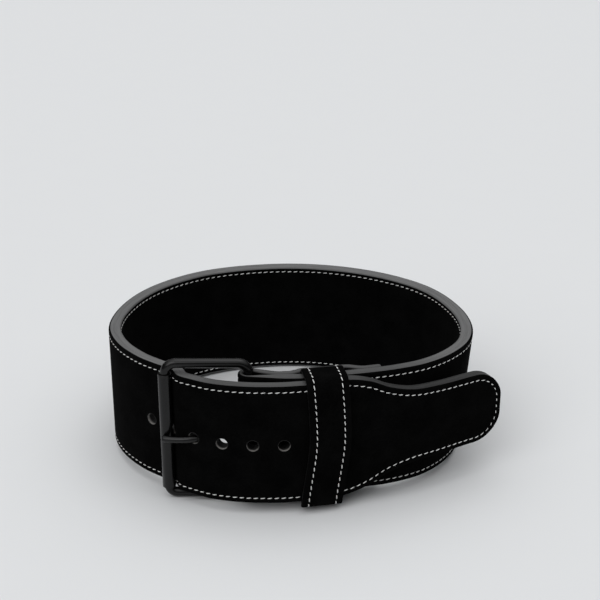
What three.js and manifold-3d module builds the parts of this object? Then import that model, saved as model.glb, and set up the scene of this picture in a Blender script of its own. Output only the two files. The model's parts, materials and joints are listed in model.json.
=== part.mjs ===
// A weightlifting belt, 100 mm wide and 10 mm thick, buckled into a loop and resting as it does by itself.
// Millimetres, +Z up, buckle towards -Y, free end towards +X. Lines are drawn as seen from above.
import * as THREE from "three";
import { mergeVertices } from "three/addons/utils/BufferGeometryUtils.js";
import Module from "manifold-3d";

const wasm = await Module();
wasm.setup();

// Strap
const STRAP_WIDTH = 100;
const STRAP_THICKNESS = 10;
const STRAP_CHAMFER = 1.4;
const LOOP_WIDTH = 297;
const LOOP_DEPTH = 247;
const LAYER_GAP = 0.5;
const SECTION_STEP = 8;
const TAIL_RISE = 4.5;
const SIDE_LEAN = 8;
const TIP_CORNER = 25;
const TIP_SECTIONS = 6;
const CUTTER_MARGIN = 2;

// Holes for the prong, counted from the fifth
const HOLE_DIAMETER = 9.6;
const HOLE_PITCH = 23.8;
const HOLE_HEIGHT = 50.5;
const HOLE_FIFTH_SHARE = -0.188;
const HOLE_STEPS = [-4, -3, -2, -1, 0, 1];

// Folded end that holds the buckle
const FLAP_THICKNESS = 4.5;
const FLAP_END_SHARE = 0.49;
const FLAP_START_SHARE = -0.1;
const FLAP_GAP = 0.4;
const FLAP_SWELL_START = 1;
const FLAP_SWELL_END = 15;
const FOLD_THICKNESS = 4.2;
const FOLD_DEGREES = [80, 104, 128, 152, 176, 200, 224, 248, 272];
const SLOT_HEIGHT = 10;
const SLOT_REACH = 17;
const SLOT_CLEARANCE = 0.6;
const SLOT_ROUND_STEPS = 5;

// Buckle
const WIRE_DIAMETER = 7.6;
const WIRE_CLEARANCE = 0.4;
const FRAME_LENGTH = 63.8;
const FRAME_SIDE_CLEARANCE = 2.55;
const FRAME_RISE = 1.45;
const FRAME_BAR_SHARE = -0.211;
const FRAME_BACK = 25.5;
const BAR_CORNER = 8;
const ROLLER_TOP_CORNER = 9;
const ROLLER_FOOT_CORNER = 6;
const CORNER_STEPS = 5;
const ROLLER_DIAMETER = 10.6;
const ROLLER_BORE_CLEARANCE = 0.4;
const ROLLER_END_CLEARANCE = 1.05;
const ROLLER_EDGE = 0.4;
const PRONG_DIAMETER = 5.5;
const PRONG_CLEARANCE = 0.5;
const PRONG_EYE_RISE = 2;
const PRONG_DROP = 5;
const PRONG_BOW = 3.5;
const PRONG_TIP_SHARE = 0.55;
const PRONG_STEPS = 16;

// Keeper
const KEEPER_WIDTH = 32;
const KEEPER_THICKNESS = 4;
const KEEPER_BACK_THICKNESS = 3;
const KEEPER_SHARE = 0.194;
const KEEPER_SLACK = 1.1;
const KEEPER_TOP_SLACK = 1.6;
const KEEPER_BOTTOM_SLACK = 0.5;
const KEEPER_CORNER = 6;
const KEEPER_TOP_CORNER = 9;
const KEEPER_TOP_BEND = 3.2;
const KEEPER_CORNER_STEPS = 4;
const KEEPER_BOW_STEPS = 8;
const KEEPER_BOW_MIDDLE = 2.5;
const KEEPER_BOW_FOOT = -4;
const KEEPER_FOOT_SHARE = 0.6;

// Rivets
const RIVET_CAP_DIAMETER = 12.7;
const RIVET_CAP_HEIGHT = 2.6;
const RIVET_SHANK_DIAMETER = 5;
const RIVET_FOOT_DIAMETER = 9.5;
const RIVET_FOOT_HEIGHT = 1.2;
const RIVET_CLEARANCE = 0.3;
const RIVET_ROWS = [0.16, 0.5, 0.84];
const RIVET_COLUMNS = [-0.075, 0.395];

// Sides of the round sections
const WIRE_SIDES = 12;
const PRONG_SIDES = 10;
const BORE_SIDES = 16;
const ROLLER_SIDES = 24;

// Exactness of the strap's curve and of joining corners
const CURVE_DIVISIONS = 2000;
const STATION_SEARCH_STEP = 0.2;
const WELD_DISTANCE = 1e-4;

const LEATHER = { color: 0x101010, roughness: 0.95, metalness: 0 };
const COATED_STEEL = { color: 0x0c0c0c, roughness: 0.4, metalness: 0.6 };

// The outer face of the strap, from beside the bar of the buckle round the waist and back over it to the tip.
// across: share of half the loop's width. back: share of the loop's depth, less one layer, from the front.
// layer: 1 where the strap lies over its other end. thick, width: shares of the strap's own.
// lean: share of how far the lower edge stands in from the upper one. rise: share of the free end's rise.
// Beside the roller: along, in lengths of the frame from its bar, and behind, in radii behind the roller's axis.
const STRAP_LINE = [
  { across: -0.135, back: 0.0216, layer: 0, thick: 0.7, lean: 0, rise: 0, width: 1 },
  { across: -0.040, back: 0.0144, layer: 0, thick: 1, lean: 0, rise: 0, width: 1 },
  { across: 0.054, back: 0.0152, layer: 0, thick: 1, lean: 0, rise: 0, width: 1 },
  { across: 0.135, back: 0.0216, layer: 0, thick: 1, lean: 0, rise: 0, width: 1 },
  { across: 0.303, back: 0.0427, layer: 0, thick: 1, lean: 0, rise: 0, width: 1 },
  { across: 0.539, back: 0.0799, layer: 0, thick: 1, lean: 0, rise: 0, width: 1 },
  { across: 0.714, back: 0.1273, layer: 0, thick: 1, lean: 0.25, rise: 0, width: 1 },
  { across: 0.862, back: 0.2051, layer: 0, thick: 1, lean: 0.62, rise: 0, width: 1 },
  { across: 0.963, back: 0.3023, layer: 0, thick: 1, lean: 0.94, rise: 0, width: 1 },
  { across: 1.000, back: 0.4207, layer: 0, thick: 1, lean: 1, rise: 0, width: 1 },
  { across: 0.963, back: 0.5814, layer: 0, thick: 1, lean: 0.75, rise: 0, width: 1 },
  { across: 0.815, back: 0.7674, layer: 0, thick: 1, lean: 0.38, rise: 0, width: 1 },
  { across: 0.532, back: 0.9112, layer: 0, thick: 1, lean: 0.12, rise: 0, width: 1 },
  { across: 0.168, back: 0.9894, layer: 0, thick: 1, lean: 0, rise: 0, width: 1 },
  { across: -0.202, back: 0.9894, layer: 0, thick: 1, lean: 0, rise: 0, width: 1 },
  { across: -0.566, back: 0.9154, layer: 0, thick: 1, lean: 0, rise: 0, width: 1 },
  { across: -0.842, back: 0.7590, layer: 0, thick: 1, lean: 0, rise: 0, width: 1 },
  { across: -0.973, back: 0.5814, layer: 0, thick: 1, lean: 0, rise: 0, width: 1 },
  { across: -1.000, back: 0.4123, layer: 0, thick: 1, lean: 0, rise: 0, width: 1 },
  { across: -0.933, back: 0.2833, layer: 0, thick: 1, lean: 0, rise: 0, width: 1 },
  { across: -0.808, back: 0.1784, layer: 0, thick: 1, lean: 0, rise: 0, width: 1 },
  { along: 1.1390, behind: 2.585, thick: 1, lean: 0, rise: 0, width: 1 },
  { along: 0.9509, behind: 0.925, thick: 1, lean: 0, rise: 0, width: 1 },
  { along: 0.8256, behind: -1.264, thick: 1, lean: 0, rise: 0, width: 1 },
  { along: 0.7002, behind: -2.264, thick: 1, lean: 0, rise: 0, width: 1 },
  { along: 0.4494, behind: -3.717, thick: 1, lean: 0, rise: 0, width: 1 },
  { across: -0.229, back: 0.0025, layer: 1, thick: 1, lean: 0, rise: 0, width: 1 },
  { across: -0.040, back: 0.0013, layer: 1, thick: 1, lean: 0, rise: 0, width: 1 },
  { across: 0.054, back: 0.0089, layer: 1, thick: 1, lean: 0, rise: 0, width: 1 },
  { across: 0.135, back: 0.0182, layer: 1, thick: 1, lean: 0, rise: 0, width: 1 },
  { across: 0.303, back: 0.0397, layer: 1, thick: 1, lean: 0, rise: 0.4, width: 0.99 },
  { across: 0.418, back: 0.0558, layer: 1, thick: 1, lean: 0, rise: 0.7, width: 0.89 },
  { across: 0.512, back: 0.0710, layer: 1, thick: 1, lean: 0, rise: 0.9, width: 0.745 },
  { across: 0.633, back: 0.0947, layer: 1, thick: 1, lean: 0, rise: 1, width: 0.64 },
  { across: 0.781, back: 0.1395, layer: 1, thick: 1, lean: 0, rise: 1, width: 0.61 },
  { across: 0.943, back: 0.1987, layer: 1, thick: 1, lean: 0, rise: 1, width: 0.6 },
  { across: 1.128, back: 0.2622, layer: 1, thick: 1, lean: 0, rise: 1, width: 0.6 },
];

const halfLoop = LOOP_WIDTH / 2;
const midHeight = STRAP_WIDTH / 2;
const layerStep = STRAP_THICKNESS + LAYER_GAP;
const wireRadius = WIRE_DIAMETER / 2;
const frameHeight = STRAP_WIDTH + 2 * FRAME_SIDE_CLEARANCE + WIRE_DIAMETER;
const frameMiddle = midHeight + FRAME_RISE;
const rollerRadius = ROLLER_DIAMETER / 2;
const prongRadius = PRONG_DIAMETER / 2;
const barAt = new THREE.Vector3(FRAME_BAR_SHARE * halfLoop, FRAME_BACK, midHeight);
const rollerAt = new THREE.Vector3(barAt.x - FRAME_LENGTH, FRAME_BACK, midHeight);
const up = new THREE.Vector3(0, 0, 1);

// Turns a closed geometry into a solid that can be joined and cut.
function solid(geometry) {
  const bare = new THREE.BufferGeometry();
  bare.setAttribute("position", geometry.getAttribute("position"));
  bare.setIndex(geometry.getIndex());
  const merged = mergeVertices(bare, WELD_DISTANCE);
  const vertProperties = new Float32Array(merged.getAttribute("position").array);
  const triVerts = new Uint32Array(merged.index.array);
  return new wasm.Manifold(new wasm.Mesh({ numProp: 3, vertProperties, triVerts }));
}

// Turns a solid back into a geometry.
function geometryOf(body) {
  const mesh = body.getMesh();
  const geometry = new THREE.BufferGeometry();
  geometry.setAttribute("position", new THREE.BufferAttribute(new Float32Array(mesh.vertProperties), 3));
  geometry.setIndex(new THREE.BufferAttribute(new Uint32Array(mesh.triVerts), 1));
  return geometry;
}

// Skins rings of equal length into one closed body. An open skin gets a flat face at each end.
function skin(rings, closed) {
  const count = rings[0].length;
  const faces = [];
  const spans = closed ? rings.length : rings.length - 1;
  for (let i = 0; i < spans; i += 1) {
    const a = i * count;
    const b = ((i + 1) % rings.length) * count;
    for (let j = 0; j < count; j += 1) {
      const k = (j + 1) % count;
      faces.push(a + j, b + j, b + k, a + j, b + k, a + k);
    }
  }
  const end = (rings.length - 1) * count;
  for (let j = 1; j < count - 1 && !closed; j += 1) {
    faces.push(0, j, j + 1);
    faces.push(end, end + j + 1, end + j);
  }
  const positions = rings.flat().flatMap((p) => [p.x, p.y, p.z]);
  const geometry = new THREE.BufferGeometry();
  geometry.setAttribute("position", new THREE.Float32BufferAttribute(positions, 3));
  geometry.setIndex(faces);
  return geometry;
}

// Sweeps a round section along points of a flat path, with side square to the path's plane.
function wire(points, radiusAt, side, closed, sides) {
  const rings = points.map((p, i) => {
    const before = points[closed ? (i + points.length - 1) % points.length : Math.max(i - 1, 0)];
    const after = points[closed ? (i + 1) % points.length : Math.min(i + 1, points.length - 1)];
    const along = after.clone().sub(before).normalize();
    const across = new THREE.Vector3().crossVectors(side, along).normalize();
    const ring = [];
    for (let j = 0; j < sides; j += 1) {
      const angle = (-2 * Math.PI * j) / sides;
      const out = across.clone().multiplyScalar(Math.cos(angle)).addScaledVector(side, Math.sin(angle));
      ring.push(p.clone().addScaledVector(out, radiusAt(i)));
    }
    return ring;
  });
  return skin(rings, closed);
}

// The place of a row of the strap's line, seen from above.
function rowPlace({ across, back, layer, along, behind }) {
  if (along !== undefined) {
    return new THREE.Vector3(barAt.x - along * FRAME_LENGTH, barAt.y + behind * rollerRadius, 0);
  }
  return new THREE.Vector3(across * halfLoop, back * (LOOP_DEPTH - layerStep) + (1 - layer) * layerStep, 0);
}

// The strap's outer face as a curve through the table's rows.
const strapCurve = new THREE.CatmullRomCurve3(STRAP_LINE.map(rowPlace), false, "centripetal");
strapCurve.arcLengthDivisions = CURVE_DIVISIONS;
const strapLength = strapCurve.getLength();

// A station on the strap's outer face: its place, the direction inwards and the columns of the table.
function stationAt(distance) {
  const t = strapCurve.getUtoTmapping(distance / strapLength);
  const rows = STRAP_LINE.length - 1;
  const row = Math.min(Math.floor(t * rows), rows - 1);
  const blend = (column) => {
    const share = THREE.MathUtils.smoothstep(t * rows - row, 0, 1);
    return THREE.MathUtils.lerp(STRAP_LINE[row][column], STRAP_LINE[row + 1][column], share);
  };
  const linear = (column) =>
    THREE.MathUtils.lerp(STRAP_LINE[row][column], STRAP_LINE[row + 1][column], t * rows - row);
  const along = strapCurve.getTangent(t);
  return {
    distance,
    place: strapCurve.getPoint(t),
    inward: new THREE.Vector3(-along.y, along.x, 0).normalize(),
    thick: linear("thick") * STRAP_THICKNESS,
    half: (linear("width") * STRAP_WIDTH) / 2,
    lean: blend("lean") * SIDE_LEAN,
    rise: blend("rise") * TAIL_RISE,
  };
}

// The station at a share across, on the inner end (layer 0) or the outer end (layer 1) of the strap.
function stationAcross(share, layer) {
  const x = share * halfLoop;
  if (layer === 0) {
    let distance = 0;
    while (stationAt(distance).place.x < x) distance += STATION_SEARCH_STEP;
    return stationAt(distance);
  }
  let distance = strapLength;
  while (stationAt(distance).place.x > x) distance -= STATION_SEARCH_STEP;
  return stationAt(distance);
}

const keeperStation = stationAcross(KEEPER_SHARE, 1);

// How far the flap stands off the strap, with room for the keeper's back.
function flapStandOff(station) {
  const room = KEEPER_BACK_THICKNESS + 2 * KEEPER_SLACK;
  const beside = Math.abs(station.place.x - keeperStation.place.x) - KEEPER_WIDTH / 2;
  return FLAP_GAP + room * (1 - THREE.MathUtils.smoothstep(beside, FLAP_SWELL_START, FLAP_SWELL_END));
}

// The flap, which lies behind the strap's inner end, from its own end to the bar.
function flapStation(station) {
  const back = station.thick + flapStandOff(station) + FLAP_THICKNESS;
  return {
    ...station,
    place: station.place.clone().addScaledVector(station.inward, back),
    inward: station.inward.clone().negate(),
    thick: FLAP_THICKNESS,
  };
}

function flapStations() {
  const end = stationAcross(FLAP_END_SHARE, 0);
  const first = stationAcross(FLAP_START_SHARE, 0);
  const between = loopStations().filter((s) => s.distance >= first.distance && s.distance < end.distance);
  return [...between, end].reverse().map(flapStation);
}

// The fold round the bar, from the back to the front.
function foldStations() {
  const radius = wireRadius + WIRE_CLEARANCE + FOLD_THICKNESS;
  return FOLD_DEGREES.map((degrees) => {
    const angle = THREE.MathUtils.degToRad(degrees);
    const out = new THREE.Vector3(Math.cos(angle), Math.sin(angle), 0);
    return {
      place: new THREE.Vector3(barAt.x, barAt.y, 0).addScaledVector(out, radius),
      inward: out.clone().negate(),
      thick: FOLD_THICKNESS,
      half: midHeight,
      lean: 0,
      rise: 0,
    };
  });
}

// The strap round the waist and over its other end, up to the round corners of the tip.
function loopStations() {
  const stations = [];
  const steps = Math.round((strapLength - TIP_CORNER) / SECTION_STEP);
  for (let i = 0; i <= steps; i += 1) {
    stations.push(stationAt(((strapLength - TIP_CORNER) * i) / steps));
  }
  for (let i = 1; i <= TIP_SECTIONS; i += 1) {
    const angle = (Math.PI / 2) * (i / TIP_SECTIONS);
    const station = stationAt(strapLength - TIP_CORNER * (1 - Math.sin(angle)));
    station.half += TIP_CORNER * (Math.cos(angle) - 1);
    stations.push(station);
  }
  return stations;
}

// One section of the strap, with chamfered edges.
function strapSection({ place, inward, thick, half, lean, rise }) {
  const c = Math.min(STRAP_CHAMFER, thick / 3);
  const outline = [
    [0, c - half],
    [0, half - c],
    [c, half],
    [thick - c, half],
    [thick, half - c],
    [thick, c - half],
    [thick - c, -half],
    [c, -half],
  ];
  return outline.map(([depth, height]) => {
    const inset = depth + (lean * (half - height)) / (2 * half);
    return place.clone().addScaledVector(inward, inset).setZ(midHeight + height + rise);
  });
}

// A bar with its axis through a station, square to the strap, from one depth to another.
function borer(station, height, diameter, from, to) {
  const bar = new THREE.CylinderGeometry(diameter / 2, diameter / 2, to - from, BORE_SIDES);
  const axis = new THREE.Vector3(0, 1, 0);
  bar.applyQuaternion(new THREE.Quaternion().setFromUnitVectors(axis, station.inward));
  const middle = station.place.clone().addScaledVector(station.inward, (from + to) / 2).setZ(height);
  bar.translate(middle.x, middle.y, middle.z);
  return solid(bar);
}

const eyeRadius = wireRadius + WIRE_CLEARANCE + prongRadius;
const eyeHeight = midHeight + PRONG_EYE_RISE;

// The prong's arm leaves its eye on the front of the bar, falls a little on its way through the third hole
// and rests on the roller.
// along: in lengths of the frame from its bar. bow: share of how far the arm bows to the front.
const PRONG_ARM = [
  { along: 0, bow: 0 },
  { along: 0.331, bow: 0.034 },
  { along: 0.541, bow: 0.505 },
  { along: 0.694, bow: 1 },
  { along: 0.847, bow: 0.76 },
  { along: 1, bow: 0 },
  { along: 1.048, bow: -0.4 },
];

function prongPoints() {
  const eyeFront = barAt.y - eyeRadius;
  const rollerFront = rollerAt.y - rollerRadius - WIRE_CLEARANCE - prongRadius;
  const rows = PRONG_ARM.map(({ along, bow }) => {
    const level = THREE.MathUtils.lerp(eyeFront, rollerFront, Math.min(along, 1));
    const height = eyeHeight - along * PRONG_DROP;
    return new THREE.Vector3(barAt.x - along * FRAME_LENGTH, level - bow * PRONG_BOW, height);
  });
  return new THREE.CatmullRomCurve3(rows, false, "centripetal").getSpacedPoints(PRONG_STEPS);
}

function prongArm(radius) {
  const radiusAt = (i) => radius * (i === PRONG_STEPS ? PRONG_TIP_SHARE : 1);
  return solid(wire(prongPoints(), radiusAt, up, false, PRONG_SIDES));
}

function buckleProng() {
  const eye = new THREE.TorusGeometry(eyeRadius, prongRadius, PRONG_SIDES, ROLLER_SIDES);
  eye.translate(barAt.x, barAt.y, eyeHeight);
  return geometryOf(solid(eye).add(prongArm(prongRadius)));
}

// The wire frame: a closed rectangle with round corners, the tightest one at the roller's foot.
function buckleFrame() {
  const right = barAt.x;
  const left = rollerAt.x;
  const half = frameHeight / 2;
  const corners = [
    { x: right, z: half, radius: BAR_CORNER, start: 0 },
    { x: left, z: half, radius: ROLLER_TOP_CORNER, start: 90 },
    { x: left, z: -half, radius: ROLLER_FOOT_CORNER, start: 180 },
    { x: right, z: -half, radius: BAR_CORNER, start: 270 },
  ];
  const points = [];
  for (const corner of corners) {
    const centreX = corner.x + corner.radius * (corner.x === right ? -1 : 1);
    const centreZ = corner.z - corner.radius * Math.sign(corner.z);
    for (let i = 0; i <= CORNER_STEPS; i += 1) {
      const angle = THREE.MathUtils.degToRad(corner.start + (90 * i) / CORNER_STEPS);
      const x = centreX + corner.radius * Math.cos(angle);
      const z = centreZ + corner.radius * Math.sin(angle);
      points.push(new THREE.Vector3(x, barAt.y, frameMiddle + z));
    }
  }
  return wire(points, () => wireRadius, new THREE.Vector3(0, 1, 0), true, WIRE_SIDES);
}

function buckleRoller() {
  const half = frameHeight / 2 - ROLLER_FOOT_CORNER - ROLLER_END_CLEARANCE;
  const inner = wireRadius + ROLLER_BORE_CLEARANCE;
  const profile = [
    [inner, -half],
    [rollerRadius - ROLLER_EDGE, -half],
    [rollerRadius, ROLLER_EDGE - half],
    [rollerRadius, half - ROLLER_EDGE],
    [rollerRadius - ROLLER_EDGE, half],
    [inner, half],
    [inner, -half],
  ].map(([x, y]) => new THREE.Vector2(x, y));
  return new THREE.LatheGeometry(profile, ROLLER_SIDES).rotateX(Math.PI / 2);
}

// A rectangle in the plane of depth and height, its corners round with one radius low and another high,
// and its front side in short steps so that it can bow.
function roundedRectangle(path, left, bottom, right, top, low, high) {
  path.moveTo(left + low, bottom);
  path.lineTo(right - low, bottom);
  path.absarc(right - low, bottom + low, low, -Math.PI / 2, 0);
  path.absarc(right - high, top - high, high, 0, Math.PI / 2);
  path.absarc(left + high, top - high, high, Math.PI / 2, Math.PI);
  for (let i = 1; i < KEEPER_BOW_STEPS; i += 1) {
    path.lineTo(left, THREE.MathUtils.lerp(top - high, bottom + low, i / KEEPER_BOW_STEPS));
  }
  path.absarc(left + low, bottom + low, low, Math.PI, 1.5 * Math.PI);
  path.closePath();
  return path;
}

// How far the keeper's front stands aside at a share of the height: a bow over the middle, the foot drawn back.
function keeperBow(share) {
  const bow = KEEPER_BOW_MIDDLE * Math.sin(Math.PI * THREE.MathUtils.clamp(share, 0, 1));
  return bow + KEEPER_BOW_FOOT * (1 - THREE.MathUtils.smoothstep(share, 0, KEEPER_FOOT_SHARE));
}

// The keeper: a leather ring round both ends of the strap, its back between the strap and the flap.
function keeperLoop() {
  const front = -KEEPER_SLACK;
  const under = stationAcross(KEEPER_SHARE, 0);
  const between = under.place.clone().sub(keeperStation.place).dot(keeperStation.inward);
  const back = between + STRAP_THICKNESS + KEEPER_SLACK;
  const bottom = -KEEPER_BOTTOM_SLACK;
  const top = STRAP_WIDTH + KEEPER_TOP_SLACK;
  const ring = roundedRectangle(
    new THREE.Shape(),
    front - KEEPER_THICKNESS,
    bottom - KEEPER_THICKNESS,
    back + KEEPER_BACK_THICKNESS,
    top + KEEPER_THICKNESS,
    KEEPER_CORNER,
    KEEPER_TOP_CORNER,
  );
  const low = KEEPER_CORNER - KEEPER_THICKNESS;
  ring.holes.push(roundedRectangle(new THREE.Path(), front, bottom, back, top, low, KEEPER_TOP_BEND));
  const geometry = new THREE.ExtrudeGeometry(ring, {
    depth: KEEPER_WIDTH,
    bevelEnabled: false,
    curveSegments: KEEPER_CORNER_STEPS,
  });
  geometry.translate(0, 0, -KEEPER_WIDTH / 2);
  const places = geometry.getAttribute("position");
  for (let i = 0; i < places.count; i += 1) {
    const share = THREE.MathUtils.clamp(1 - places.getX(i) / back, 0, 1);
    places.setZ(i, places.getZ(i) + share * keeperBow(places.getY(i) / STRAP_WIDTH));
  }
  const along = new THREE.Vector3().crossVectors(keeperStation.inward, up);
  geometry.applyMatrix4(new THREE.Matrix4().makeBasis(keeperStation.inward, up, along));
  return geometry.translate(keeperStation.place.x, keeperStation.place.y, 0);
}

// Where a rivet sits: the station of its column, and how deep the two layers are there.
function rivetPlaces() {
  return RIVET_COLUMNS.flatMap((share) => {
    const station = stationAcross(share, 0);
    const depth = station.thick + flapStandOff(station) + FLAP_THICKNESS;
    return RIVET_ROWS.map((row) => ({ station, depth, height: row * STRAP_WIDTH }));
  });
}

// The cap's outline from its rim to its crown, in shares of its radius and height.
const RIVET_DOME = [[1, 0], [1, 0.25], [0.8, 0.7], [0.45, 0.94], [0, 1]];

// A rivet with a domed cap on the flap and a flat foot let into the strap's outer face.
function rivet({ station, depth, height }) {
  const cap = RIVET_CAP_DIAMETER / 2;
  const shank = RIVET_SHANK_DIAMETER / 2;
  const foot = RIVET_FOOT_DIAMETER / 2;
  const capBase = depth + RIVET_CLEARANCE;
  const profile = [
    [0, 0],
    [foot, 0],
    [foot, RIVET_FOOT_HEIGHT],
    [shank, RIVET_FOOT_HEIGHT],
    [shank, capBase],
    ...RIVET_DOME.map(([wide, high]) => [wide * cap, capBase + high * RIVET_CAP_HEIGHT]),
  ].map(([x, y]) => new THREE.Vector2(x, y));
  const geometry = new THREE.LatheGeometry(profile, BORE_SIDES);
  const axis = new THREE.Vector3(0, 1, 0);
  geometry.applyQuaternion(new THREE.Quaternion().setFromUnitVectors(axis, station.inward));
  return geometry.translate(station.place.x, station.place.y, height);
}

// The slot in the fold, for the prong's eye and arm.
function foldSlot() {
  const half = SLOT_HEIGHT / 2;
  const end = barAt.x + SLOT_REACH - half;
  const left = barAt.x - wireRadius - WIRE_CLEARANCE - FOLD_THICKNESS - CUTTER_MARGIN;
  const outline = new THREE.Shape();
  outline.moveTo(left, -half);
  outline.lineTo(end, -half);
  outline.absarc(end, 0, half, -Math.PI / 2, Math.PI / 2);
  outline.lineTo(left, half);
  outline.closePath();
  const reach = eyeRadius + prongRadius + SLOT_CLEARANCE;
  const slot = new THREE.ExtrudeGeometry(outline, {
    depth: 2 * reach,
    bevelEnabled: false,
    curveSegments: SLOT_ROUND_STEPS,
  });
  slot.rotateX(Math.PI / 2).translate(0, barAt.y + reach, eyeHeight);
  return solid(slot);
}

function beltStrap() {
  const stations = [...flapStations(), ...foldStations(), ...loopStations()];
  let body = solid(skin(stations.map(strapSection), false));
  const fifth = stationAcross(HOLE_FIFTH_SHARE, 1).distance;
  for (const step of HOLE_STEPS) {
    const station = stationAt(fifth + step * HOLE_PITCH);
    const through = STRAP_THICKNESS + CUTTER_MARGIN;
    body = body.subtract(borer(station, HOLE_HEIGHT, HOLE_DIAMETER, -CUTTER_MARGIN, through));
  }
  for (const { station, depth, height } of rivetPlaces()) {
    const bore = RIVET_SHANK_DIAMETER + 2 * RIVET_CLEARANCE;
    const sink = RIVET_FOOT_DIAMETER + 2 * RIVET_CLEARANCE;
    const seat = RIVET_CAP_DIAMETER + 2 * RIVET_CLEARANCE;
    const sinkFloor = RIVET_FOOT_HEIGHT + RIVET_CLEARANCE;
    body = body.subtract(borer(station, height, bore, -CUTTER_MARGIN, depth + CUTTER_MARGIN));
    body = body.subtract(borer(station, height, sink, -CUTTER_MARGIN, sinkFloor));
    body = body.subtract(borer(station, height, seat, depth, depth + 2 * RIVET_CAP_HEIGHT));
  }
  body = body.subtract(foldSlot());
  return geometryOf(body.subtract(prongArm(prongRadius + PRONG_CLEARANCE)));
}

function mesh(name, geometry, material) {
  const made = new THREE.Mesh(geometry, new THREE.MeshStandardMaterial(material));
  made.name = name;
  return made;
}

// All pieces in the belt's own frame, with the strap's lower edge level at height 0.
const belt = new THREE.Group();
belt.add(mesh("belt_strap", beltStrap(), LEATHER));
belt.add(mesh("keeper_loop", keeperLoop(), LEATHER));
belt.add(mesh("buckle_frame", buckleFrame(), COATED_STEEL));
belt.add(mesh("buckle_prong", buckleProng(), COATED_STEEL));
const roller = mesh("buckle_roller", buckleRoller(), COATED_STEEL);
roller.position.copy(rollerAt);
belt.add(roller);
rivetPlaces().forEach((place, i) => belt.add(mesh(`rivet_${i + 1}`, rivet(place), COATED_STEEL)));

// The frame's lower side is the lowest point in front, so the belt rests on it and on its own back edge.
const REST_DIRECTION = THREE.MathUtils.degToRad(75);
const restAway = new THREE.Vector3(Math.cos(REST_DIRECTION), Math.sin(REST_DIRECTION), 0);
const frameDrop = frameHeight / 2 + wireRadius - frameMiddle;
const frameFoot = new THREE.Vector3(barAt.x - BAR_CORNER, barAt.y, 0);
const reach = Math.max(...loopStations().map((s) => s.place.dot(restAway))) - frameFoot.dot(restAway);
const restNormal = up.clone().addScaledVector(restAway, -frameDrop / reach).normalize();
belt.quaternion.setFromUnitVectors(restNormal, up);

// The origin is the middle of the box round the belt, at its foot.
const root = new THREE.Group();
root.add(belt);
root.updateMatrixWorld(true);
const box = new THREE.Box3().setFromObject(belt, true);
belt.position.set(-(box.min.x + box.max.x) / 2, -(box.min.y + box.max.y) / 2, -box.min.z);

export default root;
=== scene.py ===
"""A weightlifting belt of black suede leather, buckled into a loop: its fine meshes, stitches, finishes and stage.

The pieces are modelled upright in the belt's own frame, with the strap's lower edge at height 0 and the buckle
towards -Y, and are then laid as the belt rests. Rows of places are in millimetres, everything else in metres.
"""

import json
import math

import bmesh
import bpy
import numpy as np
from mathutils import Matrix, Vector


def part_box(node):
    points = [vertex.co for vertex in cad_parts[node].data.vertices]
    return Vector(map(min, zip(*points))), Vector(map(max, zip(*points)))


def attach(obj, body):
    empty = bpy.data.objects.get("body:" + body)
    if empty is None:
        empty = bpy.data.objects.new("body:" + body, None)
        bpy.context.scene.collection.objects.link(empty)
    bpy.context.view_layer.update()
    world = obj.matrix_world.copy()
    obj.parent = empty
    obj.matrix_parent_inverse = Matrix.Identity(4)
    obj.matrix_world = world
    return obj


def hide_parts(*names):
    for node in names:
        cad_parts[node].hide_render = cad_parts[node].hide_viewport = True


bl_info = {
    "name": "Weightlifting belt",
    "version": (1, 0, 0),
    "blender": (4, 5, 0),
    "location": "View3D > Sidebar > Belt",
    "description": "Builds a suede weightlifting belt with its buckle, keeper, rivets, stitches and studio",
    "category": "Add Mesh",
}

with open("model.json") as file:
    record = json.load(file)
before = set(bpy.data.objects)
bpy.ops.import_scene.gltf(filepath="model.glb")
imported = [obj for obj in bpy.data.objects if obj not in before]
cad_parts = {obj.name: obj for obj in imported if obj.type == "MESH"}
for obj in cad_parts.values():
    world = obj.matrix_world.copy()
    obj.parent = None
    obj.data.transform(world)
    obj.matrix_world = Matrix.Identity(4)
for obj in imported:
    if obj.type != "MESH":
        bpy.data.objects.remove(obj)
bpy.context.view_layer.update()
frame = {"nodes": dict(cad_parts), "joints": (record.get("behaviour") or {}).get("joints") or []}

MM = 0.001

# Strap, as built in the frame
STRAP_WIDTH = 100 * MM
STRAP_THICKNESS = 10 * MM
TIP_CORNER = 25 * MM
STATION_STEP = 2.5 * MM
ROW_STEP = 5 * MM
SEAM_DEPTH = 0.3 * MM
SEAM_HALF = 0.45 * MM
SEAM_THICKNESS = (5 * MM, 9 * MM)
GROOVE_DEPTH = 0.35 * MM
GROOVE_HALF = 1.1 * MM

# Holes along the strap, counted from the fifth
HOLE_DIAMETER = 9.6 * MM
HOLE_PITCH = 23.8 * MM
HOLE_HEIGHT = 50.5 * MM
HOLE_FIFTH_X = -27.9 * MM
HOLE_STEPS = (-4, -3, -2, -1, 0, 1)
HOLE_LIP = 0.15 * MM
CUTTER_LENGTH = 14 * MM

# Thin folded end
FLAP_THICKNESS = 4.5 * MM
FLAP_END_X = 72.8 * MM
FLAP_START_X = -14.8 * MM
FLAP_GAP = 0.4 * MM
FLAP_EASE = (1 * MM, 15 * MM)
FOLD_THICKNESS = 4.2 * MM
SLOT_HEIGHT = 10 * MM
SLOT_REACH = 17 * MM
SLOT_CLEARANCE = 0.6 * MM
SLOT_ROUND_SHARE = 0.495

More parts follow.
